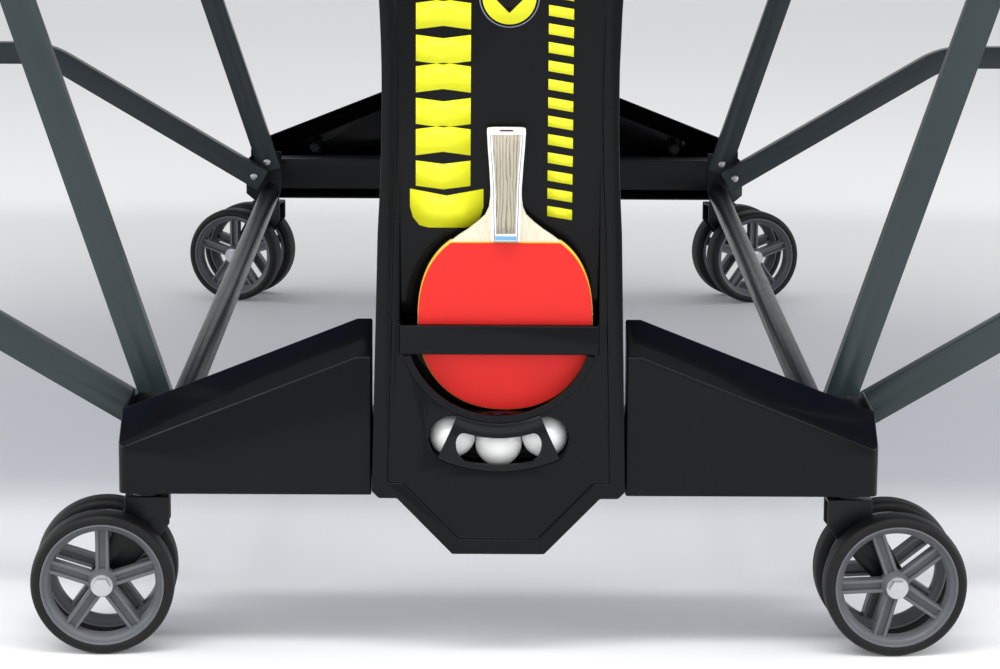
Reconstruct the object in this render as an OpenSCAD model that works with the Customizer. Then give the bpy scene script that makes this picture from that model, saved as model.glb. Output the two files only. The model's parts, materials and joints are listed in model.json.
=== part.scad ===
// Roll-away compact ping pong table, drawn open in its playing position.
// Origin on the floor under the net, +Z up, X along the table, Y across it. All sizes are millimetres.

/* [Playing surface] */
// Length of the open table
table_l = 2740; // [2000:10:2800]
// Width of the table
table_w = 1525; // [1200:5:1600]
// Height of the playing surface above the floor
table_h = 760; // [650:5:780]
// Thickness of a top panel
panel_t = 22; // [16:1:28]
// Gap between the two halves under the net
halves_gap = 8; // [4:1:16]
// Height of the net above the surface
net_h = 152.5; // [140:0.5:160]

/* [Side frames] */
// Distance between the outer faces of the near and far wing covers
frame_w = 1830; // [1700:5:1900]
// Distance between the outer ends of the wings of one side frame
frame_l = 652; // [560:2:760]
// Height of the underside of the wing covers
wing_z = 147; // [120:1:180]
// Half width of the tower cover at its waist
waist = 99.5; // [80:0.5:130]
// Height of the waist
waist_z = 485; // [430:5:540]
// Half width of the tower cover at its foot
foot_half = 108.5; // [95:0.5:130]
// Height of the top of the tower cover
tower_top = 704; // [600:2:720]

/* [Folding linkage] */
// Distance of the steep strut's lower pivot from the centre
strut_x = 303; // [260:1:320]
// Height of the steep strut's lower pivot
strut_z = 199; // [180:1:230]
// Lean of the steep strut from vertical, degrees
strut_lean = 18.4; // [12:0.1:24]
// Width of the strut and bar tubes, seen from the side of the table
tube_w = 28; // [24:1:36]
// Distance of the outer leg's pivot from the centre
leg_x = 1118; // [1000:1:1200]
// Height where the bent bar meets the outer leg
bar_end_z = 345; // [320:1:370]

/* [Casters] */
// Wheel diameter
wheel_d = 125; // [100:5:150]
// Width of one tyre
tyre_w = 28; // [20:1:34]
// Distance from a caster's stem to its axle
trail = 38; // [30:1:50]
// Distance of the stems from the centre
stem_x = 306.5; // [280:0.5:320]

/* [Bat and balls] */
// Width of the bat's blade
bat_w = 149; // [140:1:158]
// Length of the bat
bat_l = 248; // [240:1:262]
// Ball diameter
ball_d = 40; // [38:0.5:40]

/* [Hidden] */
$fn = 48;
gap = 0.3;

// Planes across the table, measured from the middle, for one side frame
wing_face = frame_w / 2;
tower_face = wing_face + 8;
frame_in = 790;
beam_w = 40;
beam_bottom = 160;
tower_back = frame_in + beam_w + 2;
strut_in = 768;
strut_out = 786;
bar_in = 744;
bar_out = 764;
rail_out = 738;
rail_w = 25;
leg_out = 702;
leg_w = 32;
stem_y = 858;
post_y = 903;

// Thickness of the covers' walls and of the square tubes
cover_t = 3;

// Colours
cover_black = [0.12, 0.12, 0.13];
gloss_black = [0.05, 0.05, 0.06];
slate = [0.23, 0.28, 0.29];
zinc = [0.75, 0.76, 0.78];
grey_rim = [0.37, 0.39, 0.41];
rubber_black = [0.12, 0.12, 0.12];
top_blue = [0.05, 0.16, 0.38];
bat_red = [0.95, 0.25, 0.22];
bat_wood = [0.93, 0.88, 0.76];

// Fold linkage, half table on the +X side
half_in = halves_gap / 2;
half_l = table_l / 2;
panel_bottom = table_h - panel_t;
strut_top_z = table_h - 42;
strut_top_x = strut_x + (strut_top_z - strut_z) * tan(strut_lean);
bar_x = strut_x + 16;
bar_z = strut_z - 16;
bend_x = 592;
bend_r = 100;
// Length of tube beyond a pivot
tube_end = 13;
link_x = 73;
link_z = 677.9;
link_end_x = 257;
link_end_z = 719;
leg_z = table_h - 70;
leg_at_bar_x = leg_x + 32;
leg_lean = atan((leg_at_bar_x - leg_x) / (leg_z - bar_end_z));
pin_r = 3;
head_r = 4.6;
// Inner face of the plates welded to the frames
plate_in = frame_in - 3.5;

// Bat pocket and ball slot in the tower face
pocket_z = 298;
mouth_r = 80;
pocket_r = 84;
slot_half = 84.6;
slot_z = 303.6;
band_z = 271.6;
band_top = 296.7;
ramp_top = 440;
ramp_lean = 8.9;
ball_r = ball_d / 2;
ball_ring = ball_r + 88.5;
ball_step = 21.5;
rim_w = 13.5;

// ---------- placing ----------

// Pieces are drawn for the +X, +Y quarter and mirrored into place
module on_side(sx, sy) {
    if (sx > 0 && sy > 0) children();
    if (sx < 0 && sy > 0) mirror([1, 0, 0]) children();
    if (sx > 0 && sy < 0) mirror([0, 1, 0]) children();
    if (sx < 0 && sy < 0) mirror([1, 0, 0]) mirror([0, 1, 0]) children();
}

module both_frames(sx) {
    on_side(sx, 1) children();
    on_side(sx, -1) children();
}

module four_corners() {
    both_frames(1) children();
    both_frames(-1) children();
}

// Extrudes an X-Z outline from y0 to y1
module across(y0, y1) {
    translate([0, y1, 0]) rotate([90, 0, 0]) linear_extrude(y1 - y0) children();
}

module rod(x, z, r, y0, y1) {
    translate([x, y1, z]) rotate([90, 0, 0]) cylinder(r = r, h = y1 - y0);
}

// Flat bar outline between two points, running on by a tube's end at both
module bar_2d(a, b, w) {
    d = b - a;
    translate(a) rotate(atan2(d[1], d[0]))
        translate([-tube_end, -w / 2]) square([norm(d) + 2 * tube_end, w]);
}

// ---------- side frames ----------

module side_beam(sy) color(gloss_black) on_side(1, sy) difference() {
    translate([-318, frame_in, beam_bottom]) cube([636, beam_w, beam_w]);
    translate([-319, frame_in + cover_t, beam_bottom + cover_t])
        cube([638, beam_w - 2 * cover_t, beam_w - 2 * cover_t]);
}

// Post with a head plate for the links and three arms that carry the tower cover
module tower_post(sy) color(gloss_black) on_side(1, sy) {
    post_z = beam_bottom + beam_w;
    difference() {
        translate([-25, frame_in, post_z]) cube([50, beam_w, 690 - post_z]);
        translate([-22, frame_in + 3, post_z - 1]) cube([44, beam_w - 6, 692 - post_z]);
    }
    difference() {
        translate([-92, plate_in, 650]) cube([184, frame_in - plate_in, 50]);
        for (x = [-link_x, link_x]) rod(x, link_z, pin_r + 0.1, plate_in - 1, frame_in + 1);
    }
    arm_in = frame_in + beam_w;
    arm_out = panel_y - cover_t;
    difference() {
        for (z = [470, 580, 620]) translate([-14, arm_in, z]) cube([28, arm_out - arm_in, 12]);
        translate([0, post_y, 570]) cylinder(r = post_r + 0.1, h = 70);
    }
}

// Gusset that carries the two strut pivots and the end of the cross tube
module corner_plate_2d() {
    polygon([[285, 210], [285, 160], [290, 140], [316, 140], [332, 154], [332, 198], [320, 210]]);
}

module corner_plates() color(gloss_black) four_corners() difference() {
    across(plate_in, frame_in) corner_plate_2d();
    rod(strut_x, strut_z, pin_r + 0.1, plate_in - 1, frame_in + 1);
    rod(bar_x, bar_z, pin_r + 0.1, plate_in - 1, frame_in + 1);
}

// Bushes that hold the caster stems, each on a shelf welded to the beam
module caster_sockets() color(gloss_black) four_corners() difference() {
    union() {
        translate([272, frame_in + beam_w, 162]) cube([46, 30, 6]);
        translate([stem_x, stem_y, 151]) cylinder(r = 14, h = 45);
    }
    translate([stem_x, stem_y, 140]) cylinder(r = stem_r + gap, h = 60);
}

module cross_tube(sx) color(gloss_black) on_side(sx, 1) rod(300, 155, 12.5, -plate_in, plate_in);

// ---------- wing covers ----------

bevel_run = 42;
bevel_rise = 26.7;
crease_end = 188.5;
crease_slope = 0.396;
wing_slope = atan(crease_slope);
wing_in = foot_half + 0.5;
wing_out = frame_l / 2;
wing_flat_x = 122;
wing_flat_z = crease_end + crease_slope * (321 - wing_flat_x);

// Everything above the sloping bevel, then above the level bevel, moved down by t
module wing_cutters(t) {
    bevel = atan(bevel_rise * cos(wing_slope) / bevel_run);
    level_bevel = atan(bevel_rise / bevel_run);
    translate([321, wing_face, crease_end - t]) rotate([0, wing_slope, 0]) rotate([-bevel, 0, 0])
        translate([-600, -500, 0]) cube([1000, 1000, 500]);
    translate([0, wing_face, wing_flat_z - t]) rotate([-level_bevel, 0, 0])
        translate([-100, -500, 0]) cube([1000, 1000, 500]);
    translate([wing_flat_x, 0, wing_flat_z + bevel_rise - t]) rotate([0, wing_slope, 0])
        translate([-100, 0, 0]) cube([1000, 1000, 500]);
    translate([0, 0, wing_flat_z + bevel_rise - t]) cube([1000, 1000, 500]);
}

module rounded_plan(x0, x1, y0, y1, r) {
    translate([x0, y0]) square([x1 - x0 - r, y1 - y0]);
    translate([x0, y0]) square([x1 - x0, y1 - y0 - r]);
    translate([x1 - r, y1 - r]) circle(r = r);
}

module wing_solid(t) difference() {
    translate([0, 0, wing_z + t]) linear_extrude(200)
        rounded_plan(wing_in + t, wing_out - t, frame_in + 0.5 - t, wing_face - t, 8 - t);
    wing_cutters(t);
}

// Shell open towards the table, with two ribs that stand against the beam and carry the screws
module wing_cover(sx, sy) color(cover_black) on_side(sx, sy) difference() {
    union() {
        difference() {
            wing_solid(0);
            wing_solid(cover_t);
            // no roof behind the ridge of the bevel
            translate([wing_in - 1, frame_in - 1, wing_z + cover_t])
                cube([wing_out - wing_in - 2, wing_face - bevel_run - frame_in + 1, 200]);
        }
        for (x = screw_x) {
            translate([x - 2, frame_in + beam_w, 165]) cube([4, wing_face - 1.5 - frame_in - beam_w, 36]);
            rod(x, screw_z, 7, frame_in + beam_w + 4, wing_face - 1.5);
        }
    }
    translate([wing_in - 1, frame_in - 1, beam_bottom - 0.5]) cube([5, beam_w + 1.5, beam_w + 1]);
    translate([stem_x, stem_y, 140]) cylinder(r = 17, h = 20);
    for (x = screw_x) rod(x, screw_z, 2.1, frame_in + beam_w, frame_in + beam_w + 16);
}

// ---------- tower cover ----------

waist_r = 1613;
waist_low = 375;

function waist_half(z) = waist + (z - waist_z) * (z - waist_z) / (2 * waist_r);

// One side of the hourglass from the waist's lower end to the top
function tower_side(inset) = [for (k = [0:14])
    let (z = waist_low + (tower_top - inset - waist_low) * k / 14) [waist_half(z) - inset, z]];

function flip(pts) = [for (k = [len(pts) - 1:-1:0]) [-pts[k][0], pts[k][1]]];

// Outline of the tower, moved in by inset; its foot narrows to a flat toe
module tower_2d(inset) {
    corner = max(1, 6 - inset);
    right = concat(
        [[39.5 - inset * 0.4, 97 + inset],
            [87 - inset * 0.4, 146 + inset],
            [foot_half - inset - corner, 146 + inset],
            [foot_half - inset, 146 + inset + corner]],
        tower_side(inset));
    polygon(concat(right, flip(right)));
}

module half_disc(r) intersection() {
    translate([0, pocket_z]) circle(r = r, $fn = 96);
    translate([-r, pocket_z - r]) square([2 * r, r]);
}

// Space for the blade: a half disc with a flat floor and a straight upper part
module pocket_2d(r, floor_z) {
    intersection() {
        half_disc(r);
        translate([-r, floor_z]) square([2 * r, r]);
    }
    translate([-r - 2, pocket_z - 1]) square([2 * r + 4, slot_z - pocket_z + 1]);
}

// Ring sector about the pocket's centre
module ring_2d(r0, r1, half_angle) {
    far = 3 * r1;
    intersection() {
        translate([0, pocket_z]) difference() {
            circle(r = r1, $fn = 96);
            circle(r = r0, $fn = 96);
        }
        translate([0, pocket_z])
            polygon([[0, 0], [-far * sin(half_angle), -far * cos(half_angle)],
                [far * sin(half_angle), -far * cos(half_angle)]]);
    }
}

module ball_slot_2d(grow) {
    ring_2d(ball_ring - ball_r - 0.5 - grow, ball_ring + ball_r + 0.2 + grow, ball_step);
    for (a = [-ball_step, ball_step])
        translate([ball_ring * sin(a), pocket_z - ball_ring * cos(a)]) circle(r = ball_r + 0.5 + grow);
}

panel_y = tower_face - 3;
pocket_y = panel_y - 38;
ball_y = panel_y - cover_t - ball_r - 0.5;
tray_y = ball_y - ball_r - 0.5;

// Y of the leaning face behind the bat, at height z
function ramp_y(z) = panel_y - (ramp_top - z) * tan(ramp_lean);

// Block between the leaning face, moved back by t, and the plane y1
module ramp_block(t, half, y1) translate([half, 0, 0]) rotate([0, -90, 0]) linear_extrude(2 * half)
    polygon([[slot_z - (t > 0 ? 3 : 0), y1], [slot_z - (t > 0 ? 3 : 0), ramp_y(slot_z) - t],
        [ramp_top, panel_y - t], [ramp_top, y1]]);

module tower_cover(sy) color(cover_black) on_side(1, sy) difference() {
    union() {
        difference() {
            across(tower_back, tower_face) tower_2d(0);
            across(tower_back - 1, panel_y - cover_t) tower_2d(cover_t);
            across(panel_y, tower_face + 1) tower_2d(rim_w);
        }
        ramp_block(cover_t, slot_half + cover_t, panel_y - 1);
        across(pocket_y - cover_t, panel_y - 1) pocket_2d(pocket_r + cover_t, 216);
        across(tray_y - cover_t, panel_y - 1) ball_slot_2d(cover_t);
        across(panel_y - 1, tower_face)
            translate([-slot_half, band_z]) square([2 * slot_half, band_top - band_z]);
    }
    ramp_block(0, slot_half, tower_face + 1);
    across(pocket_y, panel_y - cover_t) pocket_2d(pocket_r, 219.2);
    // slot above the band
    translate([-slot_half, panel_y - 5, band_top]) cube([2 * slot_half, 10, slot_z - band_top + 1]);
    // half disc mouth below the band
    intersection() {
        across(panel_y - 5, tower_face + 1) half_disc(mouth_r);
        translate([-100, 0, 200]) cube([200, 1000, band_z - 200]);
    }
    across(tray_y, tower_face) ball_slot_2d(0);
    // the net post comes out of the top
    translate([0, post_y, 640]) cylinder(r = post_r + gap, h = 80);
}

// Curved saddle in front of the balls, with a window; its upper edge lies on the face of the tower
saddle_half = 24.2;
window_w = 73;

module ball_cover(sy) color(cover_black) on_side(1, sy) difference() {
    union() {
        across(panel_y - 2.5, tower_face + 1.5) ring_2d(90.7, 128.2, saddle_half);
        across(panel_y, tower_face + 1.5) ring_2d(84.5, 92, saddle_half);
    }
    across(panel_y - 4, tower_face + 3) intersection() {
        ring_2d(98, 122, saddle_half);
        translate([-window_w / 2, 150]) square([window_w, 100]);
    }
}

screw_x = [140, 243];
screw_z = 208;

module cover_screws() color(zinc) four_corners() for (x = screw_x) {
    rod(x, screw_z, 4.5, frame_in + beam_w + 1.8, frame_in + beam_w + 4);
    rod(x, screw_z, 2, frame_in + beam_w + 3, frame_in + beam_w + 14);
}

// ---------- net ----------

post_r = 9;
net_end = 889;
net_top = table_h + net_h;

module net_posts() color(gloss_black) both_frames(1) {
    translate([0, post_y, 572]) cylinder(r = post_r, h = net_top + 2 - 572);
    translate([0, post_y, net_top + 2]) cylinder(r = post_r + 1.5, h = 4);
}

// Clips that hold the ends of the net on the posts
module net_collars() color(gloss_black) both_frames(1) for (z = [table_h + 8, net_top - 14]) difference() {
    union() {
        translate([0, post_y, z]) cylinder(r = post_r + 4, h = 12);
        translate([-4, net_end, z]) cube([8, 8, 12]);
    }
    translate([0, post_y, z - 1]) cylinder(r = post_r + 0.1, h = 14);
}

module net() color([0.1, 0.12, 0.2])
    translate([-0.6, -net_end, table_h + 2]) cube([1.2, 2 * net_end, net_h - 17.5]);

module net_tape() color([0.95, 0.95, 0.95])
    translate([-2, -net_end, net_top - 15]) cube([4, 2 * net_end, 15]);

// ---------- pivot bolts held by the side frames ----------

module pivot_bolts() color(zinc) four_corners() {
    rod(strut_x, strut_z, pin_r, strut_in - 1, frame_in);
    rod(strut_x, strut_z, head_r, strut_in - 3, strut_in - gap);
    rod(bar_x, bar_z, pin_r, bar_in - 1, frame_in);
    rod(bar_x, bar_z, head_r, bar_in - 3, bar_in - gap);
    rod(link_x, link_z, pin_r, strut_in - 1, frame_in);
    rod(link_x, link_z, head_r, strut_in - 3, strut_in - gap);
}

// ---------- casters ----------

wheel_r = wheel_d / 2;
rim_r = wheel_r - 9;
wheel_y = 15;
fork_half = 13;
stem_r = 8;

// Puts a caster under its stem, turned about the stem
module caster_at(sx, sy, yaw) on_side(sx, sy) translate([stem_x, stem_y, 0]) rotate([0, 0, yaw]) children();

// Stem, bearing cup, top plate and two cheeks that run down between the wheels
module fork() color(gloss_black) {
    translate([0, 0, 131]) cylinder(r = stem_r, h = 66);
    translate([0, 0, 133]) cylinder(r = 12.5, h = 12);
    translate([0, 0, 196.3]) cylinder(r = 11, h = 2);
    translate([-19.5, -fork_half, 131]) cube([39, 2 * fork_half, 3]);
    for (y = [-fork_half, fork_half - 3]) difference() {
        across(y, y + 3) {
            polygon([[-19.5, 134], [-19.5, 110], [-12, 100], [trail - 11, wheel_r - 6],
                [trail + 11, wheel_r + 6], [19.5, 122], [19.5, 134]]);
            translate([trail, wheel_r]) circle(r = 13);
        }
        rod(trail, wheel_r, 5.1, y - 1, y + 4);
    }
}

module axle() color(zinc) translate([trail, 0, wheel_r]) rotate([90, 0, 0]) {
    translate([0, 0, -47]) cylinder(r = 5, h = 94);
    translate([0, 0, 43.3]) cylinder(r = 9.5, h = 1.5);
    translate([0, 0, 44.8]) cylinder(r = 8, h = 6, $fn = 6);
    translate([0, 0, -44.8]) cylinder(r = 9.5, h = 1.5);
    translate([0, 0, -50.8]) cylinder(r = 8, h = 6, $fn = 6);
}

module rim_2d() {
    difference() {
        circle(r = rim_r - 0.1, $fn = 96);
        circle(r = rim_r - 7, $fn = 96);
    }
    for (k = [0:4]) rotate(90 + 72 * k) translate([9, -6]) square([rim_r - 14, 12]);
    circle(r = 13);
}

module rims() color(grey_rim) for (y = [wheel_y, -wheel_y - tyre_w]) difference() {
    union() {
        translate([trail, y + tyre_w - 1, wheel_r]) rotate([90, 0, 0]) difference() {
            cylinder(r = rim_r - 0.1, h = tyre_w - 2, $fn = 96);
            translate([0, 0, -1]) cylinder(r = rim_r - 5, h = tyre_w, $fn = 96);
        }
        translate([trail, y + tyre_w / 2 + 5, wheel_r]) rotate([90, 0, 0]) linear_extrude(10) rim_2d();
        rod(trail, wheel_r, 13, y, y + tyre_w);
    }
    rod(trail, wheel_r, 5.1 + gap, y - 1, y + tyre_w + 1);
}

module tyres() color(rubber_black) for (y = [wheel_y, -wheel_y - tyre_w]) {
    translate([trail, y + tyre_w / 2, wheel_r]) rotate([90, 0, 0]) rotate_extrude($fn = 96)
        polygon([[rim_r, -tyre_w / 2 + 1], [wheel_r - 4, -tyre_w / 2], [wheel_r - 0.8, -tyre_w / 2 + 4],
            [wheel_r, -4], [wheel_r, 4], [wheel_r - 0.8, tyre_w / 2 - 4], [wheel_r - 4, tyre_w / 2],
            [rim_r, tyre_w / 2 - 1]]);
}

// ---------- half tables ----------

module top_panel(sx) color(top_blue) on_side(sx, 1)
    translate([half_in, -table_w / 2, panel_bottom]) cube([half_l - half_in, table_w, panel_t]);

// Steel apron under a half, with the bosses and pins for its struts, links and legs
module rails(sx) color(gloss_black) on_side(sx, 1) {
    deep = 48;
    shallow = 25;
    inner = rail_out - rail_w;
    translate([1325, -rail_out, panel_bottom - deep]) cube([rail_w, 2 * rail_out, deep]);
    for (x = [60, 640, 1200])
        translate([x, -inner - 1, panel_bottom - shallow]) cube([rail_w, 2 * inner + 2, shallow]);
    both_frames(1) {
        translate([60, inner, panel_bottom - deep]) cube([1266, rail_w, deep]);
        rod(strut_top_x, strut_top_z, 12, rail_out - 1, strut_in - 1);
        rod(link_end_x, link_end_z, 12, rail_out - 1, strut_in - 1);
        rod(link_end_x, link_end_z, pin_r, rail_out, strut_out + 1);
        rod(link_end_x, link_end_z, head_r, strut_out + gap, strut_out + 3);
        rod(leg_x, leg_z, pin_r, leg_out - leg_w - 3, inner + 1);
        rod(leg_x, leg_z, 9, leg_out + 1, inner + 1);
        rod(leg_x, leg_z, head_r, leg_out - leg_w - 3, leg_out - leg_w - gap);
    }
}

module links(sx) color(gloss_black) both_frames(sx) difference() {
    across(strut_in, strut_out) bar_2d([link_x, link_z], [link_end_x, link_end_z], 26);
    rod(link_x, link_z, pin_r + gap, strut_in - 1, strut_out + 1);
    rod(link_end_x, link_end_z, pin_r + gap, strut_in - 1, strut_out + 1);
}

module struts(sx) color(slate) both_frames(sx) difference() {
    across(strut_in, strut_out) bar_2d([strut_x, strut_z], [strut_top_x, strut_top_z], tube_w);
    rod(strut_x, strut_z, pin_r + gap, strut_in - 1, strut_out + 1);
}

// Bent bar: a sloping run from the frame, a bend, and a level run to the leg
bar_rise = atan2(bar_end_z - bar_z, bend_x - bar_x);

// Points of the bend at distance s above the bar's middle line
function bend_arc(s) = let (middle = [bend_x + bend_r * tan(bar_rise / 2), bar_end_z - bend_r])
    [for (k = [0:8]) let (a = 90 + bar_rise * (1 - k / 8)) middle + (bend_r + s) * [cos(a), sin(a)]];

function bar_edge(s) = concat(
    [[bar_x, bar_z] - tube_end * [cos(bar_rise), sin(bar_rise)] + s * [-sin(bar_rise), cos(bar_rise)]],
    bend_arc(s),
    [[leg_at_bar_x + tube_end, bar_end_z + s]]);

function backwards(pts) = [for (k = [len(pts) - 1:-1:0]) pts[k]];

module bars(sx) color(slate) both_frames(sx) difference() {
    across(bar_in, bar_out) polygon(concat(bar_edge(tube_w / 2), backwards(bar_edge(-tube_w / 2))));
    rod(bar_x, bar_z, pin_r + gap, bar_in - 1, bar_out + 1);
}

foot_h = 34;

// Legs with their cross tube; the stub beside each leg lies against the bent bar
module legs(sx) color(slate) on_side(sx, 1) difference() {
    union() {
        both_frames(1) {
            translate([leg_x, 0, leg_z]) rotate([0, -leg_lean, 0]) {
                translate([-15, leg_out - leg_w, -leg_z]) cube([30, leg_w, leg_z]);
                rod(0, 0, 15, leg_out - leg_w, leg_out);
            }
            rod(leg_at_bar_x, bar_end_z, 10, leg_out - 1, bar_in - 1);
        }
        rod(leg_at_bar_x, bar_end_z, 12.5, leg_w - leg_out - 1, leg_out - leg_w + 1);
    }
    translate([leg_x, -800, foot_h - 100]) cube([200, 1600, 100]);
    for (s = [-1, 1]) on_side(1, s) rod(leg_x, leg_z, pin_r + gap, leg_out - leg_w - 1, leg_out + 1);
}

module feet(sx) color(rubber_black) both_frames(sx) {
    foot_x = leg_x + (leg_z - foot_h) * tan(leg_lean);
    translate([foot_x, leg_out - leg_w / 2, 0]) {
        cylinder(r1 = 21, r2 = 19, h = 12);
        cylinder(r = 7, h = foot_h);
    }
}

// ---------- bat and balls ----------

bat_x = 5;
bat_z = 220.4;
blade_t = 6;
rubber_t = 2;
grip_t = 8;
rubber_top = 151;
bat_off = blade_t / 2 + grip_t + 1;
bat_y = ramp_y(bat_z) + bat_off / cos(ramp_lean);

// Half width of the blade at height t above its lowest point
function blade_half(t) = t < 80
    ? bat_w / 2 * pow(1 - pow((80 - t) / 80, 2.2), 1 / 2.2)
    : bat_w / 2 * pow(1 - pow((t - 80) / 83.5, 2.4), 1 / 2.4);

function blade_side() = [for (k = [0:24])
    let (t = rubber_top * (1 - cos(180 * k / 24)) / 2) [max(1, blade_half(t)), t]];

shoulder = [[40, 155.5], [32, 161], [24, 167.5], [17.3, 174], [14.3, 181], [13.2, 190]];

module in_pocket() mirror([0, 1, 0]) translate([bat_x, bat_y, bat_z]) rotate([-ramp_lean, 0, 0]) children();

module bat_blade() color(bat_wood) in_pocket() across(-blade_t / 2, blade_t / 2) {
    side = concat(blade_side(), shoulder, [[13.2, bat_l - 4]]);
    polygon(concat(side, flip(side)));
}

module bat_rubber(y0) in_pocket() across(y0, y0 + rubber_t)
    polygon(concat(blade_side(), flip(blade_side())));

module bat_handle() color(bat_wood) in_pocket() difference() {
    across(-blade_t / 2 - grip_t, blade_t / 2 + grip_t)
        polygon([[-13.4, 153], [-13.2, 195], [-14.3, 215], [-16.8, bat_l], [16.8, bat_l], [14.3, 215],
            [13.2, 195], [13.4, 153]]);
    across(-blade_t / 2, blade_t / 2) translate([-14, 150]) square([28, bat_l - 154]);
}

module balls() color([0.95, 0.95, 0.93]) mirror([0, 1, 0]) for (a = [-ball_step, 0, ball_step])
    translate([ball_ring * sin(a), ball_y, pocket_z - ball_ring * cos(a)]) sphere(d = ball_d);

// ---------- output ----------

side_beam(-1);  // side_beam_near
side_beam(1);  // side_beam_far
tower_post(-1);  // tower_post_near
tower_post(1);  // tower_post_far
corner_plates();
caster_sockets();
cross_tube(-1);  // cross_tube_left
cross_tube(1);  // cross_tube_right
wing_cover(-1, -1);  // wing_cover_nl
wing_cover(1, -1);  // wing_cover_nr
wing_cover(-1, 1);  // wing_cover_fl
wing_cover(1, 1);  // wing_cover_fr
tower_cover(-1);  // tower_cover_near
tower_cover(1);  // tower_cover_far
ball_cover(-1);  // ball_cover_near
ball_cover(1);  // ball_cover_far
cover_screws();
net_posts();
net_collars();
net();
net_tape();
pivot_bolts();
caster_at(-1, -1, 2) fork();  // fork_nl
caster_at(-1, -1, 2) axle();  // axle_nl
caster_at(-1, -1, 2) rims();  // rims_nl
caster_at(-1, -1, 2) tyres();  // tyres_nl
caster_at(1, -1, -3) fork();  // fork_nr
caster_at(1, -1, -3) axle();  // axle_nr
caster_at(1, -1, -3) rims();  // rims_nr
caster_at(1, -1, -3) tyres();  // tyres_nr
caster_at(-1, 1, 16) fork();  // fork_fl
caster_at(-1, 1, 16) axle();  // axle_fl
caster_at(-1, 1, 16) rims();  // rims_fl
caster_at(-1, 1, 16) tyres();  // tyres_fl
caster_at(1, 1, 17) fork();  // fork_fr
caster_at(1, 1, 17) axle();  // axle_fr
caster_at(1, 1, 17) rims();  // rims_fr
caster_at(1, 1, 17) tyres();  // tyres_fr
top_panel(-1);  // top_left
rails(-1);  // rails_left
links(-1);  // links_left
struts(-1);  // struts_left
bars(-1);  // bars_left
legs(-1);  // legs_left
feet(-1);  // feet_left
top_panel(1);  // top_right
rails(1);  // rails_right
links(1);  // links_right
struts(1);  // struts_right
bars(1);  // bars_right
legs(1);  // legs_right
feet(1);  // feet_right
bat_blade();
bat_handle();
color(bat_red) bat_rubber(blade_t / 2);  // bat_rubber_front
color(rubber_black) bat_rubber(-blade_t / 2 - rubber_t);  // bat_rubber_back
balls();
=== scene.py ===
"""Looks of the folding table tennis table: materials, detailed pieces, floor, light and camera."""

import json
import math

import bmesh
import bpy
from mathutils import Matrix, Vector

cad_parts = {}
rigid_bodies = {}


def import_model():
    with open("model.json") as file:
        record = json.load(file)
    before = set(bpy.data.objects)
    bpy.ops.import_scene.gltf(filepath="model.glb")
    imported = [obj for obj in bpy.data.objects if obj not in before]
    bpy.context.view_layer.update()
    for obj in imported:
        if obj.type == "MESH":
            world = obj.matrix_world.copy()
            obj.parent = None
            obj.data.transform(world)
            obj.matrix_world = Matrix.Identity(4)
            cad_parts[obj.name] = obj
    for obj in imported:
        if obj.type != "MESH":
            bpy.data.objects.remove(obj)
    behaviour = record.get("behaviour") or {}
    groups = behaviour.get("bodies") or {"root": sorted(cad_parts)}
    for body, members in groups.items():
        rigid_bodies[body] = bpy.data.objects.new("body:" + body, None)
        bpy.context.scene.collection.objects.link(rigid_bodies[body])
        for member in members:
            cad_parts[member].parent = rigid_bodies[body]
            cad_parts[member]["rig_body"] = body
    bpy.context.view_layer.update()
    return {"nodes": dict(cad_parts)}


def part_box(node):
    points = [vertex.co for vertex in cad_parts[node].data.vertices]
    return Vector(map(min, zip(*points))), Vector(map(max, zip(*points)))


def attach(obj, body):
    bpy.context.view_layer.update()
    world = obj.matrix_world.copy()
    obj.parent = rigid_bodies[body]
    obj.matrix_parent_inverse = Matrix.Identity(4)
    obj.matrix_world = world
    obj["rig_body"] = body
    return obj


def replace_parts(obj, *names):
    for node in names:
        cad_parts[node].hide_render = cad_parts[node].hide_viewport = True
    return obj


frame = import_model()

NEAR, FAR = -1, 1
LEFT, RIGHT = -1, 1
CORNERS = {"nl": (LEFT, NEAR), "nr": (RIGHT, NEAR), "fl": (LEFT, FAR), "fr": (RIGHT, FAR)}

# Planes and places shared with the CAD, in metres and degrees
TOWER_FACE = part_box("tower_cover_far")[1][1]
PANEL_INSET = 0.003
PANEL = TOWER_FACE - PANEL_INSET
POCKET_Z = 0.298
BAND_LOW = 0.2716
RAMP_TOP = 0.440
RAMP_LEAN = math.radians(8.9)
TABLE_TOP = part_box("top_left")[1][2]
STEM_X, STEM_Y = 0.3065, 0.858
TRAIL = 0.038
WHEEL_R = 0.0625
WHEEL_MID = 0.029
CASTER_TURN = {"nl": 2, "nr": -3, "fl": 16, "fr": 17}
SPOKE_TURN = {"nl": 0, "nr": 20, "fl": 0, "fr": 0}


# ---------- material helpers ----------

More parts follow.
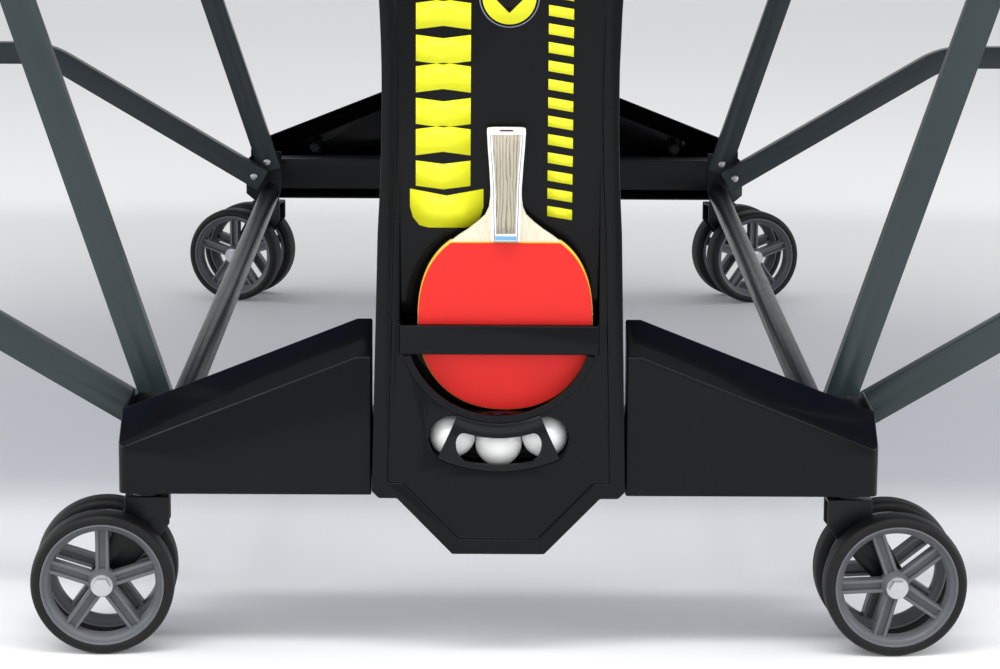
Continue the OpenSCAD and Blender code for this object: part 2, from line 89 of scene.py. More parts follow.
class Paint:
    """A Principled material with short ways to add procedural nodes."""

    def __init__(self, name, color, rough, **sockets):
        self.mat = bpy.data.materials.new(name)
        self.mat.use_nodes = True
        self.tree = self.mat.node_tree
        self.shader = self.tree.nodes["Principled BSDF"]
        self.color = color
        self.set("Base Color", (*color, 1))
        self.set("Roughness", rough)
        for socket, value in sockets.items():
            self.set(socket.replace("_", " "), value)

    def set(self, socket, value):
        """Sets a socket of the shader to one value."""
        self.shader.inputs[socket].default_value = value

    def node(self, kind, **values):
        """Adds a node, with values for its inputs or its settings."""
        made = self.tree.nodes.new(kind)
        for key, value in values.items():
            if key in made.inputs:
                made.inputs[key].default_value = value
            else:
                setattr(made, key, value)
        return made

    def link(self, out, socket):
        self.tree.links.new(out, socket)

    def place(self, stretch=(1, 1, 1)):
        """Object coordinates in metres, stretched along each axis."""
        coords = self.node("ShaderNodeTexCoord")
        mapping = self.node("ShaderNodeMapping")
        mapping.inputs["Scale"].default_value = stretch
        self.link(coords.outputs["Object"], mapping.inputs["Vector"])
        return mapping.outputs["Vector"]

    def noise(self, scale, stretch=(1, 1, 1), detail=4.0):
        """A noise pattern from 0 to 1."""
        made = self.node("ShaderNodeTexNoise", Scale=scale, Detail=detail)
        self.link(self.place(stretch), made.inputs["Vector"])
        return made.outputs["Fac"]

    def ramp(self, fac, low, high, start=0.3, end=0.7):
        """A colour that goes from low to high while the factor goes from start to end."""
        made = self.node("ShaderNodeValToRGB")
        stops = made.color_ramp.elements
        stops[0].position = start
        stops[1].position = end
        stops[0].color = (*low, 1)
        stops[1].color = (*high, 1)
        self.link(fac, made.inputs["Fac"])
        return made.outputs["Color"]

    def vary_color(self, amount, scale):
        """Lets the base colour drift by a share of itself either way."""
        low = tuple(c * (1 - amount) for c in self.color)
        high = tuple(min(1, c * (1 + amount)) for c in self.color)
        self.link(self.ramp(self.noise(scale), low, high), self.shader.inputs["Base Color"])
        return self

    def vary_rough(self, low, high, scale, stretch=(1, 1, 1)):
        """Lets the roughness drift between two values."""
        made = self.node("ShaderNodeMapRange")
        made.inputs["To Min"].default_value = low
        made.inputs["To Max"].default_value = high
        self.link(self.noise(scale, stretch), made.inputs["Value"])
        self.link(made.outputs["Result"], self.shader.inputs["Roughness"])
        return self

    def bump(self, height, strength, distance):
        """Gives the surface a fine relief from a height pattern."""
        made = self.node("ShaderNodeBump", Strength=strength, Distance=distance)
        self.link(height, made.inputs["Height"])
        self.link(made.outputs["Normal"], self.shader.inputs["Normal"])
        return self


def powder_coat(name, color, rough, shine=0.35):
    """Satin paint on metal, with the fine grain of baked powder."""
    paint = Paint(name, color, rough, Specular_IOR_Level=shine)
    paint.vary_color(amount=0.12, scale=6).vary_rough(rough - 0.06, rough + 0.08, scale=30)
    return paint.bump(paint.noise(1400, detail=2), strength=0.25, distance=0.00015).mat


def moulded(name, color, rough, shine=0.4, gloss=0.0):
    """Injection-moulded plastic; gloss adds a thin polished skin that catches the edges."""
    paint = Paint(name, color, rough, Specular_IOR_Level=shine, Coat_Weight=gloss, Coat_Roughness=0.08)
    paint.vary_color(amount=0.08, scale=9).vary_rough(rough - 0.05, rough + 0.07, scale=22)
    return paint.bump(paint.noise(2200, detail=2), strength=0.2, distance=0.0001).mat


def zinc(name):
    """Bright plating on bolts and axles."""
    paint = Paint(name, (0.50, 0.51, 0.53), 0.28, Metallic=1.0)
    paint.vary_rough(0.2, 0.4, scale=300, stretch=(1, 1, 6))
    return paint.bump(paint.noise(900, stretch=(1, 1, 8)), strength=0.15, distance=0.0001).mat


def rubber(name, color, rough=0.75):
    """Dull solid rubber or sponge."""
    paint = Paint(name, color, rough, Specular_IOR_Level=0.2)
    paint.vary_color(amount=0.15, scale=40).vary_rough(rough - 0.1, rough + 0.1, scale=60)
    return paint.bump(paint.noise(1600, detail=3), strength=0.3, distance=0.0002).mat


def playing_blue(name):
    """Matt, slightly rough lacquer of the playing surface."""
    paint = Paint(name, (0.012, 0.05, 0.17), 0.5)
    paint.vary_color(amount=0.1, scale=5).vary_rough(0.42, 0.56, scale=12)
    return paint.bump(paint.noise(700, detail=2), strength=0.25, distance=0.0002).mat


def bat_rubber(name, color):
    """Pimple-in rubber: a dense sponge sheet with a very fine grain."""
    paint = Paint(name, color, 0.62, Specular_IOR_Level=0.3, Sheen_Weight=0.03)
    paint.vary_color(amount=0.05, scale=25)
    return paint.bump(paint.noise(2500, detail=2), strength=0.3, distance=0.0001).mat


def pale_wood(name):
    """Light plywood with its grain along the blade."""
    paint = Paint(name, (0.80, 0.72, 0.56), 0.45)
    grain = paint.noise(60, stretch=(9, 9, 0.8), detail=6)
    tone = paint.ramp(grain, (0.66, 0.58, 0.42), (0.80, 0.74, 0.60))
    paint.link(tone, paint.shader.inputs["Base Color"])
    return paint.bump(grain, strength=0.15, distance=0.0002).mat


def grip_wood(name):
    """Grey-beige veneer with long, dark, wavy grain lines."""
    paint = Paint(name, (0.45, 0.40, 0.30), 0.4)
    wave = paint.node("ShaderNodeTexWave", Scale=34.0, Distortion=9.0, Detail=4.0)
    paint.link(paint.place((3.2, 3.2, 0.35)), wave.inputs["Vector"])
    tone = paint.ramp(wave.outputs["Fac"], (0.20, 0.17, 0.115), (0.42, 0.385, 0.30), start=0.02, end=0.35)
    paint.link(tone, paint.shader.inputs["Base Color"])
    return paint.bump(wave.outputs["Fac"], strength=0.1, distance=0.0001).mat


def netting(name):
    """Knotted cord net: two sets of thin lines, and nothing between them."""
    paint = Paint(name, (0.012, 0.018, 0.05), 0.7)
    lines = []
    for direction in ("Y", "Z"):
        wave = paint.node("ShaderNodeTexWave", Scale=26.0, bands_direction=direction)
        paint.link(paint.place(), wave.inputs["Vector"])
        lines.append(paint.ramp(wave.outputs["Fac"], (0, 0, 0), (1, 1, 1), start=0.80, end=0.84))
    either = paint.node("ShaderNodeMath", operation="MAXIMUM")
    paint.link(lines[0], either.inputs[0])
    paint.link(lines[1], either.inputs[1])
    paint.link(either.outputs[0], paint.shader.inputs["Alpha"])
    return paint.mat


MATS = {
    "frame": powder_coat("frame paint", (0.004, 0.0045, 0.006), 0.34, 0.25),
    "tube": powder_coat("cross tube paint", (0.008, 0.009, 0.011), 0.3, 0.25),
    "slate": powder_coat("slate paint", (0.023, 0.034, 0.037), 0.34),
    "cover": moulded("cover plastic", (0.0030, 0.0033, 0.0041), 0.28, 0.07, 0.15),
    "saddle": moulded("saddle plastic", (0.0032, 0.0036, 0.0042), 0.24, 0.12, 0.15),
    "rim": moulded("wheel grey", (0.10, 0.105, 0.115), 0.38),
    "tyre": rubber("tyre", (0.008, 0.008, 0.0085), 0.55),
    "foot": rubber("foot rubber", (0.02, 0.02, 0.02)),
    "zinc": zinc("zinc"),
    "blue": playing_blue("playing blue"),
    "red": bat_rubber("red rubber", (0.68, 0.017, 0.013)),
    "black_rubber": bat_rubber("black rubber", (0.02, 0.02, 0.02)),
    "sponge": rubber("yellow sponge", (0.68, 0.47, 0.015)),
    "wood": pale_wood("pale wood"),
    "grip": grip_wood("grip veneer"),
    "white": moulded("white lacquer", (0.85, 0.85, 0.84), 0.35),
    "pale_blue": moulded("blue lacquer", (0.16, 0.38, 0.62), 0.4),
    "grey_line": moulded("grey line", (0.2, 0.22, 0.3), 0.4),
    "ball": moulded("ball", (0.97, 0.97, 0.96), 0.35),
    "yellow": moulded("yellow print", (0.76, 0.76, 0.018), 0.4, 0.3),
    "line": moulded("line white", (0.85, 0.85, 0.85), 0.5),
    "net": netting("netting"),
}


def carried(prefixes, mat):
    """Gives a material to every CAD node whose name starts with one of the prefixes."""
    for name in frame["nodes"]:
        if name.startswith(prefixes):
            obj = bpy.data.objects[name]
            obj.data.materials.clear()
            obj.data.materials.append(MATS[mat])


carried(("caster_sockets", "net_posts", "net_collars", "cover_screws"), "frame")
carried("feet", "foot")
carried("axle", "zinc")
carried("balls", "ball")


# ---------- mesh helpers ----------

def show(shape, name, mat, body, place=None):
    """Makes a piece of a bmesh: put in place, faces turned outwards, riding on a body."""
    if place is not None:
        shape.transform(place)
    bmesh.ops.recalc_face_normals(shape, faces=shape.faces)
    for face in shape.faces:
        face.smooth = True
    mesh = bpy.data.meshes.new(name)
    shape.to_mesh(mesh)
    shape.free()
    mesh.materials.append(MATS[mat])
    obj = bpy.data.objects.new(name, mesh)
    bpy.context.collection.objects.link(obj)
    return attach(obj, body)


def rounded(obj, width, segments=2, clamp=True, angle=35):
    """Rounds the edges of a piece that are sharper than the angle; clamp narrows them all at a short edge."""
    bevel = obj.modifiers.new("edges", "BEVEL")
    bevel.width = width
    bevel.segments = segments
    bevel.limit_method = "ANGLE"
    bevel.angle_limit = math.radians(angle)
    bevel.harden_normals = True
    bevel.use_clamp_overlap = clamp
    graph = bpy.context.evaluated_depsgraph_get()
    mesh = bpy.data.meshes.new_from_object(obj.evaluated_get(graph))
    obj.modifiers.clear()
    obj.data = mesh
    return obj


def soft_copy(node, mat, width, segments=2, clamp=True):
    """Shows a CAD node with rounded edges instead of its sharp ones."""
    source = bpy.data.objects[node]
    shape = bmesh.new()
    shape.from_mesh(source.data)
    bmesh.ops.remove_doubles(shape, verts=shape.verts, dist=1e-6)
    bmesh.ops.dissolve_limit(shape, angle_limit=math.radians(1), verts=shape.verts, edges=shape.edges)
    piece = show(shape, node + "_shape", mat, source["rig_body"])
    rounded(piece, width, segments, clamp)
    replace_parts(piece, node)


def prism(outline, y0, y1):
    """A solid with an X-Z outline, between two planes."""
    shape = bmesh.new()
    ends = []
    for y in (y0, y1):
        ends.append([shape.verts.new((x, y, z)) for x, z in outline])
        shape.faces.new(ends[-1])
    for k in range(len(outline)):
        n = (k + 1) % len(outline)
        shape.faces.new((ends[0][k], ends[0][n], ends[1][n], ends[1][k]))
    return shape


def loops(rings, closed=False):
    """Skin over rings of the same number of points; closed joins the last ring to the first."""
    shape = bmesh.new()
    rows = [[shape.verts.new(point) for point in ring] for ring in rings]
    count = len(rows[0])
    last = len(rows) if closed else len(rows) - 1
    for r in range(last):
        low, high = rows[r], rows[(r + 1) % len(rows)]
        for k in range(count):
            n = (k + 1) % count
            shape.faces.new((low[k], low[n], high[n], high[k]))
    if not closed:
        shape.faces.new(rows[0])
        shape.faces.new(rows[-1])
    return shape


def revolve(profile, steps=96):
    """A closed (radius, y) profile turned about the Y axis."""
    angles = between(0, 2 * math.pi, steps)[:-1]
    rings = [[(r * math.cos(a), y, r * math.sin(a)) for r, y in profile] for a in angles]
    return loops(rings, closed=True)


def arc(radius, start, end, steps, middle):
    """Points on a circle in the X-Z plane, angles in degrees from +X."""
    angles = [math.radians(a) for a in between(start, end, steps)]
    return [(middle[0] + radius * math.cos(a), middle[1] + radius * math.sin(a)) for a in angles]


def box_shape(x, y, z):
    """A block from three (low, high) pairs."""
    return prism([(x[0], z[0]), (x[1], z[0]), (x[1], z[1]), (x[0], z[1])], *y)


def between(low, high, steps):
    """Evenly spaced values from low to high, both included."""
    return [low + (high - low) * k / steps for k in range(steps + 1)]


def eased(low, high, steps):
    """Values from low to high, both included, closer together near the two ends."""
    return [low + (high - low) * (1 - math.cos(math.pi * k / steps)) / 2 for k in range(steps + 1)]


# ---------- CAD shapes with rounded edges ----------

# Each call gives the width of the rounding in metres, and how many segments it has
for side in ("near", "far"):
    soft_copy("side_beam_" + side, "frame", 0.0025, 3)
    soft_copy("tower_post_" + side, "frame", 0.001, 2, clamp=False)
    soft_copy("tower_cover_" + side, "cover", 0.0013, 3, clamp=False)
for half in ("left", "right"):
    soft_copy("cross_tube_" + half, "tube", 0.0008)
    soft_copy("struts_" + half, "slate", 0.003, 3)
    soft_copy("bars_" + half, "slate", 0.003, 3)
    soft_copy("legs_" + half, "slate", 0.002, 3, clamp=False)
    soft_copy("links_" + half, "frame", 0.002)
    soft_copy("rails_" + half, "frame", 0.0012, 2, clamp=False)
    soft_copy("top_" + half, "blue", 0.0025, 3)
for corner in CORNERS:
    soft_copy("wing_cover_" + corner, "cover", 0.0014, 3, clamp=False)
    soft_copy("fork_" + corner, "frame", 0.0009, 3, clamp=False)
soft_copy("corner_plates", "frame", 0.001)
soft_copy("pivot_bolts", "zinc", 0.0012, 3, clamp=False)


# ---------- wheels ----------

# Half profiles as (radius, y), from the outer face to the middle plane
TYRE_PROFILE = [
    (0.0538, 0.0128), (0.0545, 0.0137), (0.0585, 0.0140), (0.0592, 0.0136), (0.0606, 0.0128),
    (0.0617, 0.0112), (0.0623, 0.0085), (0.0625, 0.0045), (0.0625, 0)]
RIM_PROFILE = [
    (0.0538, 0.0136), (0.0530, 0.0139), (0.0521, 0.0136), (0.0516, 0.0122), (0.0492, 0.0090),
    (0.0484, 0.0084), (0.0462, 0.0040), (0.0455, 0)]
HUB_PROFILE = [
    (0.0054, 0.0137), (0.0098, 0.0139), (0.0104, 0.0132), (0.0110, 0.0070), (0.0125, 0.0060), (0.0125, 0)]
HUB_STEPS = 48
SPOKES = 5
SPOKE_X = (0.006, 0.0497)
WEB_Y, WEB_Z = 0.0025, 0.0048
RIB_Y, RIB_Z = 0.0065, (0.0028, 0.0058)
SPOKE_EDGE = 0.0006


def both_faces(profile):
    """Completes half a profile, from its outer face to y = 0, with the same for the inner face."""
    return profile + [(r, -y) for r, y in reversed(profile) if y > 0]


def spoke(angle):
    """A flat web with a rib along each edge, from the hub to the rim."""
    turn = Matrix.Rotation(math.radians(-angle), 4, "Y")
    parts = [box_shape(SPOKE_X, (-WEB_Y, WEB_Y), (-WEB_Z, WEB_Z))]
    for edge in (-1, 1):
        rib = sorted(edge * z for z in RIB_Z)
        parts.append(box_shape(SPOKE_X, (-RIB_Y, RIB_Y), rib))
    for part in parts:
        part.transform(turn)
    return parts


def wheels(corner):
    """The twin wheels of one caster; the first one's tyre and rim replace the CAD ones of both."""
    sx, sy = CORNERS[corner]
    body = "wheels_" + corner
    swivel = Matrix.Rotation(math.radians(CASTER_TURN[corner]), 4, "Z")
    stem = Matrix.Diagonal((sx, sy, 1, 1)) @ Matrix.Translation((STEM_X, STEM_Y, 0)) @ swivel
    first = 90 + sx * SPOKE_TURN[corner]
    for number, y in enumerate((WHEEL_MID, -WHEEL_MID)):
        place = stem @ Matrix.Translation((TRAIL, y, WHEEL_R))
        label = f"{corner}_{number}"
        tyre = show(revolve(both_faces(TYRE_PROFILE)), "tyre_" + label, "tyre", body, place)
        rim = show(revolve(both_faces(RIM_PROFILE)), "rim_" + label, "rim", body, place)
        show(revolve(both_faces(HUB_PROFILE), HUB_STEPS), "hub_" + label, "rim", body, place)
        for k in range(SPOKES):
            for n, part in enumerate(spoke(first + 360 / SPOKES * k)):
                made = show(part, f"spoke_{label}_{k}{n}", "rim", body, place)
                rounded(made, SPOKE_EDGE)
        if number == 0:
            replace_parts(tyre, "tyres_" + corner)
            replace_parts(rim, "rims_" + corner)


for corner in CORNERS:
    wheels(corner)


# ---------- ball saddle and pocket lip ----------

# Details are drawn on a face towards +Y: a mirror in Y puts them on the near tower, one in X on the far
FACES = {"near": Matrix.Diagonal((1, -1, 1, 1)), "far": Matrix.Diagonal((-1, 1, 1, 1))}

# The saddle is a ring sector around the pocket's middle, with a window for the balls
SADDLE_IN, SADDLE_OUT = 0.0858, 0.1282
SADDLE_HALF = math.radians(24.2)
SADDLE_LIFT, SADDLE_BULGE, SADDLE_T = 0.0026, 0.0052, 0.0026
BULGE_POWER = 0.7
WINDOW_IN, WINDOW_OUT = 0.098, 0.122
WINDOW_HALF, WINDOW_ROUND = 0.0365, 0.0085
BELOW_STEPS, WINDOW_ROWS, ABOVE_STEPS = 6, 16, 3
BAR_STEPS, WINDOW_STEPS = 8, 40
MOUTH_R, LIP_R = 0.080, 0.0865
LIP_ROOT, LIP_RISE = 0.001, 0.0014
LIP_STEPS = 60


def window_half(radius):
    """Half width of the saddle's window at a distance from the pocket's middle; its ends are round."""
    share = (radius - WINDOW_IN) / (WINDOW_OUT - WINDOW_IN)
    off_middle = min(1, abs(2 * share - 1))
    return WINDOW_HALF - WINDOW_ROUND * (1 - math.sqrt(1 - off_middle ** 2))


def saddle_row(radius):
    """Points across the saddle, from one end to the other, at a distance from the pocket's middle."""
    inner = math.asin(window_half(radius) / radius)
    bar = between(SADDLE_HALF, inner, BAR_STEPS)[:-1]
    angles = bar + between(inner, -inner, WINDOW_STEPS) + [-a for a in reversed(bar)]
    share = (radius - SADDLE_IN) / (SADDLE_OUT - SADDLE_IN)
    y = PANEL + SADDLE_LIFT + SADDLE_BULGE * math.sin(math.pi * share) ** BULGE_POWER
    return [(radius * math.sin(a), y, POCKET_Z - radius * math.cos(a)) for a in angles]


def saddle(side):
    """Strap in front of the balls: a bulging shell with a window."""
    radii = between(SADDLE_IN, WINDOW_IN, BELOW_STEPS)[:-1]
    radii += eased(WINDOW_IN, WINDOW_OUT, WINDOW_ROWS)[:-1]
    radii += between(WINDOW_OUT, SADDLE_OUT, ABOVE_STEPS)
    shape = bmesh.new()
    rows = [[shape.verts.new(point) for point in saddle_row(radius)] for radius in radii]
    for low_r, high_r, low, high in zip(radii, radii[1:], rows, rows[1:]):
        beside_window = low_r >= WINDOW_IN and high_r <= WINDOW_OUT
        for k in range(len(low) - 1):
            if not (beside_window and BAR_STEPS <= k < BAR_STEPS + WINDOW_STEPS):
                shape.faces.new((low[k], low[k + 1], high[k + 1], high[k]))
    bmesh.ops.delete(shape, geom=[v for v in shape.verts if not v.link_faces], context="VERTS")
    bmesh.ops.recalc_face_normals(shape, faces=shape.faces)
    bmesh.ops.solidify(shape, geom=shape.faces[:], thickness=SADDLE_T)
    piece = show(shape, "saddle_" + side, "saddle", "base", FACES[side])
    rounded(piece, 0.0007, 3, clamp=False, angle=55)
    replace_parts(piece, "ball_cover_" + side)


def mouth_lip(side):
    """Raised half ring around the lower mouth of the bat pocket."""
    start = math.degrees(math.asin((BAND_LOW - POCKET_Z) / MOUTH_R))
    outline = arc(MOUTH_R, start, -180 - start, LIP_STEPS, (0, POCKET_Z))
    outline += arc(LIP_R, -180 - start, start, LIP_STEPS, (0, POCKET_Z))
    shape = prism(outline, PANEL - LIP_ROOT, PANEL + LIP_RISE)
    rounded(show(shape, "mouth_lip_" + side, "cover", "base", FACES[side]), 0.0009, 3)


# ---------- prints on the towers ----------

# Outlines are (x, z) on the panel; layers lie on each other, one thickness apart
PRINT_T = 0.0004
LOW_BLOCK = [
    (-0.076, 0.397), (-0.0735, 0.388), (-0.068, 0.381), (-0.060, 0.379), (-0.030, 0.379), (-0.022, 0.381),
    (-0.0165, 0.388), (-0.014, 0.397), (-0.014, 0.413), (-0.045, 0.407), (-0.076, 0.413)]
BLOCKS, BLOCK_LOW, BLOCK_STEP = 9, 0.4155, 0.0265
BLOCK_X = (-0.071, -0.048, -0.025)
BLOCK_H, BLOCK_BEND = 0.022, 0.003
DASHES, DASH_LOW, DASH_STEP = 18, 0.386, 0.0155
DASH_X = (0.040, 0.061)
DASH_H, DASH_SLANT = 0.009, 0.0035
DISC = (0.007, 0.575)
DISC_STEPS = 48
DISC_LAYERS = [("disc_edge", 0.0253, "grey_line"), ("disc_rim", 0.0243, "cover"), ("disc", 0.0225, "yellow")]
MARK_HALF = 0.013


def face_y(z):
    """Y of the panel, which leans in behind the bat."""
    return PANEL - max(0, RAMP_TOP - z) * math.tan(RAMP_LEAN)


def printed(side, name, outline, mat="yellow", layer=1):
    """A flat print that follows the panel, sunk one thickness into it."""
    shape = prism(outline, 0, 1)
    for vert in shape.verts:
        vert.co.y = face_y(vert.co.z) + (layer * PRINT_T if vert.co.y > 0.5 else -PRINT_T)
    show(shape, f"{name}_{side}", mat, "base", FACES[side])


def graphics(side):
    """Plain bent blocks and slanted dashes in two columns, and a disc; none of them is lettering."""
    printed(side, "block_low", LOW_BLOCK)
    left, middle, right = BLOCK_X
    for k in range(BLOCKS):
        z = BLOCK_LOW + BLOCK_STEP * k
        bend = z - BLOCK_BEND * (-1) ** k
        block = [(left, z), (middle, bend), (right, z)]
        block += [(x, low + BLOCK_H) for x, low in reversed(block)]
        printed(side, f"block_{k}", block)
    left, right = DASH_X
    for k in range(DASHES):
        z = DASH_LOW + DASH_STEP * k
        dash = [(left, z + DASH_SLANT), (right, z), (right, z + DASH_H), (left, z + DASH_SLANT + DASH_H)]
        printed(side, f"dash_{k}", dash)
    for layer, (name, radius, mat) in enumerate(DISC_LAYERS, 1):
        rim = arc(radius, 0, 360 - 360 / DISC_STEPS, DISC_STEPS - 1, DISC)
        printed(side, name, rim, mat, layer)
    x, z = DISC
    mark = [(x, z + MARK_HALF), (x - MARK_HALF, z), (x, z - MARK_HALF), (x + MARK_HALF, z)]
    printed(side, "disc_mark", mark, "cover", len(DISC_LAYERS) + 1)


for side in FACES:
    saddle(side)
    mouth_lip(side)
    graphics(side)


# ---------- bat ----------

# Heights run along the bat from its lowest point, half widths across it
BAT_X, BAT_Z = 0.005, 0.22040
BLADE_T, GRIP_T, BACK_GAP = 0.006, 0.008, 0.001
SPONGE_T, RUBBER_T = 0.0011, 0.002
BLADE_HALF, TIP_HALF = 0.0745, 0.001
WOOD_INSET, SKIN_INSET = 0.0004, 0.0005
WIDEST, ABOVE_WIDEST = 0.080, 0.0835
LOW_POWER, HIGH_POWER = 2.2, 2.4
BLADE_STEPS = 40
RUBBER_TOP, GRIP_LOW, BAT_END = 0.151, 0.152, 0.248
TANG_HALF, TANG_END = 0.0126, BAT_END - 0.002
SHOULDER = [
    (0.040, 0.1555), (0.032, 0.161), (0.024, 0.1675), (0.0173, 0.174), (0.0143, 0.181), (0.0132, 0.190)]
HANDLE = [  # height, half width
    (GRIP_LOW, 0.0122), (0.160, 0.0124), (0.180, 0.0129), (0.200, 0.0132), (0.218, 0.0143), (0.234, 0.0155),
    (BAT_END, 0.0163)]
GRIP_ROWS, GRIP_STEPS, INLAY_STEPS = 24, 16, 12
GRIP_ROOT = 0.98 * BLADE_T / 2
GRIP_SIDE = 0.12
ACROSS_POWER, RISE_POWER = 0.45, 0.5
THIN_START, THICKEN = 0.55, 4.5
INLAY_ROOT = 0.001
INLAYS = [  # name, material, lower end, upper end, gap to the grip's side, lift
    ("outline", "grey_line", 0.1535, BAT_END - 0.0008, 0.0024, 0.0001),
    ("border", "white", 0.1541, BAT_END - 0.0008, 0.0031, 0.0002),
    ("stripe", "pale_blue", 0.1552, 0.1586, 0.0036, 0.0003),
    ("veneer", "grip", 0.1608, BAT_END - 0.0006, 0.0042, 0.0003)]
# A thin black block in the top of the slot at the handle's end: painted shade inside the slot, not a black
# part
SLOT_SHADE_BLOCK = ((-0.0055, 0.0055), (-0.0010, 0.0010), (BAT_END - 0.0006, BAT_END + 0.0002))

bat_off = BLADE_T / 2 + GRIP_T + BACK_GAP
bat_y = PANEL - (RAMP_TOP - BAT_Z) * math.tan(RAMP_LEAN) + bat_off / math.cos(RAMP_LEAN)
BAT_PLACE = FACES["near"] @ Matrix.Translation((BAT_X, bat_y, BAT_Z)) @ Matrix.Rotation(-RAMP_LEAN, 4, "X")


def mirrored(right):
    """Closes a right-hand outline with its mirror image."""
    return right + [(-x, z) for x, z in reversed(right)]


def blade_half(height):
    """Half width of the blade: a rounded oval, squarer above its widest place."""
    reach, power = (WIDEST, LOW_POWER) if height < WIDEST else (ABOVE_WIDEST, HIGH_POWER)
    return BLADE_HALF * (1 - (abs(height - WIDEST) / reach) ** power) ** (1 / power)


def blade_side(grow):
    """Right-hand side of the blade below the handle, larger or smaller by a margin."""
    return [(max(TIP_HALF, blade_half(t)) + grow, t - grow * math.cos(math.pi * t / (2 * WIDEST)))
            for t in eased(0, RUBBER_TOP, BLADE_STEPS)]


def handle_half(height):
    """Half width of the handle, between the listed places."""
    for (z0, w0), (z1, w1) in zip(HANDLE, HANDLE[1:]):
        if height <= z1:
            return w0 + (w1 - w0) * (height - z0) / (z1 - z0)
    return HANDLE[-1][1]


def grip(facing):
    """One rounded half of the handle, in front of or behind the blade."""
    rings = []
    for z in between(GRIP_LOW, BAT_END, GRIP_ROWS):
        half = handle_half(z)
        thickness = GRIP_T * min(1, THIN_START + THICKEN * (z - GRIP_LOW) / (BAT_END - GRIP_LOW))
        ring = [(half, facing * GRIP_ROOT, z)]
        for angle in between(0, math.pi, GRIP_STEPS):
            across = math.copysign(abs(math.cos(angle)) ** ACROSS_POWER, math.cos(angle))
            rise = GRIP_SIDE + (1 - GRIP_SIDE) * math.sin(angle) ** RISE_POWER
            ring.append((half * across, facing * (BLADE_T / 2 + thickness * rise), z))
        ring.append((-half, facing * GRIP_ROOT, z))
        rings.append(ring)
    return loops(rings)


def inlay(name, mat, low, high, side_gap, lift, facing):
    """A thin panel let into the grip, following its flare."""
    outline = mirrored([(handle_half(z) - side_gap, z) for z in between(low, high, INLAY_STEPS)])
    face = BLADE_T / 2 + GRIP_T
    shape = prism(outline, *sorted((facing * (face - INLAY_ROOT), facing * (face + lift))))
    show(shape, name, mat, "bat", BAT_PLACE)


def bat():
    """Blade, and on each side its sponge, rubber, grip and the grip's inlays."""
    side_line = blade_side(-WOOD_INSET) + SHOULDER + [(TANG_HALF, TANG_END)]
    blade = show(prism(mirrored(side_line), -BLADE_T / 2, BLADE_T / 2), "bat_wood", "wood", "bat", BAT_PLACE)
    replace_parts(rounded(blade, 0.0012, 3), "bat_blade")
    for facing, mat, node in ((1, "red", "bat_rubber_front"), (-1, "black_rubber", "bat_rubber_back")):
        side = "front" if facing > 0 else "back"
        inner, joint, outer = (facing * (BLADE_T / 2 + t) for t in (0, SPONGE_T, RUBBER_T))
        sponge = prism(mirrored(blade_side(0)), *sorted((inner, joint)))
        show(sponge, "sponge_" + side, "sponge", "bat", BAT_PLACE)
        rubber_sheet = prism(mirrored(blade_side(-SKIN_INSET)), *sorted((joint, outer)))
        skin = show(rubber_sheet, "skin_" + side, mat, "bat", BAT_PLACE)
        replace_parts(rounded(skin, 0.0003), node)
        half = show(grip(facing), "grip_" + side, "white", "bat", BAT_PLACE)
        rounded(half, 0.0005, 2, angle=50)
        if facing > 0:
            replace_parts(half, "bat_handle")
        for name, inlay_mat, low, high, side_gap, lift in INLAYS:
            inlay(f"{name}_{side}", inlay_mat, low, high, side_gap, lift, facing)
    # Black block in the slot at the handle's end: painted shade inside the slot
    show(box_shape(*SLOT_SHADE_BLOCK), "end_slot_painted_shade", "black_rubber", "bat", BAT_PLACE)


bat()


# ---------- lines on the tops ----------

LINE_W, MIDDLE_HALF = 0.020, 0.0015
LINE_UP, LINE_ROOT = 0.0003, 0.001
EDGE_CLEAR = 0.003


def table_line(name, body, x, y):
    """A white line between two x and two y values, a little proud of the playing surface."""
    line = box_shape(sorted(x), y, (TABLE_TOP - LINE_ROOT, TABLE_TOP + LINE_UP))
    show(line, name, "line", body)


for sx, half in ((LEFT, "left"), (RIGHT, "right")):
    low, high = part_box("top_" + half)
    inner = min(abs(low[0]), abs(high[0])) + EDGE_CLEAR
    outer = max(abs(low[0]), abs(high[0])) - EDGE_CLEAR
    width = high[1] - EDGE_CLEAR
    body = "half_" + half
    for sy, label in ((NEAR, "near"), (FAR, "far")):
        edge = sorted((sy * width, sy * (width - LINE_W)))
        table_line(f"side_line_{half}_{label}", body, (sx * inner, sx * outer), edge)
    line_end = outer - LINE_W
    table_line("end_line_" + half, body, (sx * outer, sx * line_end), (LINE_W - width, width - LINE_W))
    table_line("middle_line_" + half, body, (sx * inner, sx * line_end), (-MIDDLE_HALF, MIDDLE_HALF))


# ---------- net ----------

NET_COLUMNS, NET_ROWS = 240, 16
RIPPLE = 0.0006
RIPPLE_Y, SWELL_Y, SWELL_Z = 41, 13, 9
BAND_STEPS = 6


def net_cloth():
    """Cloth net between the posts, slightly wavy away from its held edges."""
    low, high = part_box("net")
    length, height = high[1] - low[1], high[2] - low[2]
    shape = bmesh.new()
    rows = []
    for i in range(NET_ROWS + 1):
        z = low[2] + height * i / NET_ROWS
        free = RIPPLE * math.sin(math.pi * i / NET_ROWS)
        row = []
        for y in between(low[1], high[1], NET_COLUMNS):
            x = free * math.sin(RIPPLE_Y * y) * math.cos(SWELL_Y * y + SWELL_Z * z)
            row.append(shape.verts.new((x, y, z)))
        rows.append(row)
    for i in range(NET_ROWS):
        for k in range(NET_COLUMNS):
            shape.faces.new((rows[i][k], rows[i][k + 1], rows[i + 1][k + 1], rows[i + 1][k]))
    cloth = show(shape, "net_cloth", "net", "base")
    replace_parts(cloth, "net")


def net_band():
    """White band folded over the top of the net."""
    low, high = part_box("net_tape")
    half = (high[0] - low[0]) / 2
    fold = (0, high[2] - half)
    outline = [(-half, low[2]), (half, low[2])] + arc(half, 0, 180, BAND_STEPS, fold)
    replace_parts(show(prism(outline, low[1], high[1]), "net_band", "white", "base"), "net_tape")


net_cloth()
net_band()


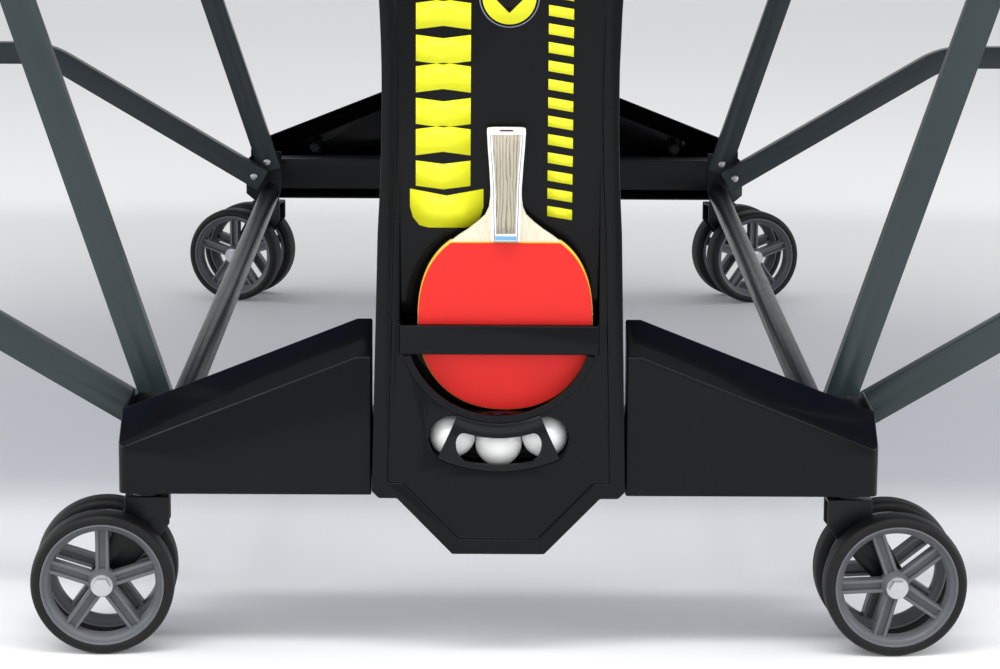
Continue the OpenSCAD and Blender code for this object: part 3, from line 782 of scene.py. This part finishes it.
# ---------- floor, light and camera ----------

FLOOR_HALF = 30
LIGHTS = [  # name, place, target, size, power in watts
    ("key", (-2.5, -3.2, 3.6), (0, -0.6, 0.3), (3, 2), 45),
    ("fill", (3.2, -3.0, 2.2), (0, -0.6, 0.3), (2.5, 2), 20),
    ("strip", (0, -2.6, 3.7), (0, -1.9, 0), (4.8, 0.7), 105),
    ("front", (0, -4.6, 1.9), (0, -0.9, 0), (4, 1.2), 22),
    ("low_-1", (-2.6, -0.3, 0.85), (0, -0.2, 0), (3.4, 0.9), 46),
    ("low_1", (2.6, -0.3, 0.85), (0, -0.2, 0), (3.4, 0.9), 46)]
SURROUND = (0.80, 0.81, 0.83, 1)
SURROUND_STRENGTH = 0.88
SENSOR_MM, LENS_MM = 36, 124.8
CAMERA_PLACE = (-0.013, -3.8115, 0.8409)
CAMERA_TURN, CAMERA_DOWN, CAMERA_ROLL = math.radians(-0.27), math.radians(10.81), math.radians(0.32)


def stage_floor():
    """Pale studio floor under and around the table."""
    corners = [(-FLOOR_HALF, -FLOOR_HALF, 0), (FLOOR_HALF, -FLOOR_HALF, 0),
               (FLOOR_HALF, FLOOR_HALF, 0), (-FLOOR_HALF, FLOOR_HALF, 0)]
    mesh = bpy.data.meshes.new("floor")
    mesh.from_pydata(corners, [], [(0, 1, 2, 3)])
    floor = bpy.data.objects.new("floor", mesh)
    bpy.context.collection.objects.link(floor)
    paint = Paint("floor", (0.79, 0.79, 0.79), 0.7, Emission_Color=(1, 1, 1, 1), Emission_Strength=0.04)
    paint.vary_color(amount=0.03, scale=0.5)
    mesh.materials.append(paint.mat)


def area_light(name, place, target, size, power):
    """A rectangular light aimed at a place, itself unseen."""
    data = bpy.data.lights.new(name, "AREA")
    data.shape = "RECTANGLE"
    data.size, data.size_y = size
    data.energy = power
    obj = bpy.data.objects.new(name, data)
    obj.location = place
    obj.rotation_euler = (Vector(target) - Vector(place)).to_track_quat("-Z", "Y").to_euler()
    obj.visible_camera = False
    bpy.context.collection.objects.link(obj)


def studio():
    """Even grey surroundings, a key and a fill, a strip for edge highlights, and low lights under the top."""
    world = bpy.data.worlds.new("studio")
    world.use_nodes = True
    background = world.node_tree.nodes["Background"]
    background.inputs["Color"].default_value = SURROUND
    background.inputs["Strength"].default_value = SURROUND_STRENGTH
    bpy.context.scene.world = world
    for light in LIGHTS:
        area_light(*light)


def camera():
    """Long lens in front of the near side, looking slightly down."""
    data = bpy.data.cameras.new("camera")
    data.sensor_width = SENSOR_MM
    data.lens = LENS_MM
    obj = bpy.data.objects.new("camera", data)
    turn = Matrix.Rotation(CAMERA_TURN, 4, "Z")
    pitch = Matrix.Rotation(math.radians(90) - CAMERA_DOWN, 4, "X")
    roll = Matrix.Rotation(CAMERA_ROLL, 4, "Z")
    obj.matrix_world = Matrix.Translation(CAMERA_PLACE) @ turn @ pitch @ roll
    bpy.context.collection.objects.link(obj)
    bpy.context.scene.camera = obj


stage_floor()
studio()
camera()
bpy.context.scene.view_settings.view_transform = "Standard"
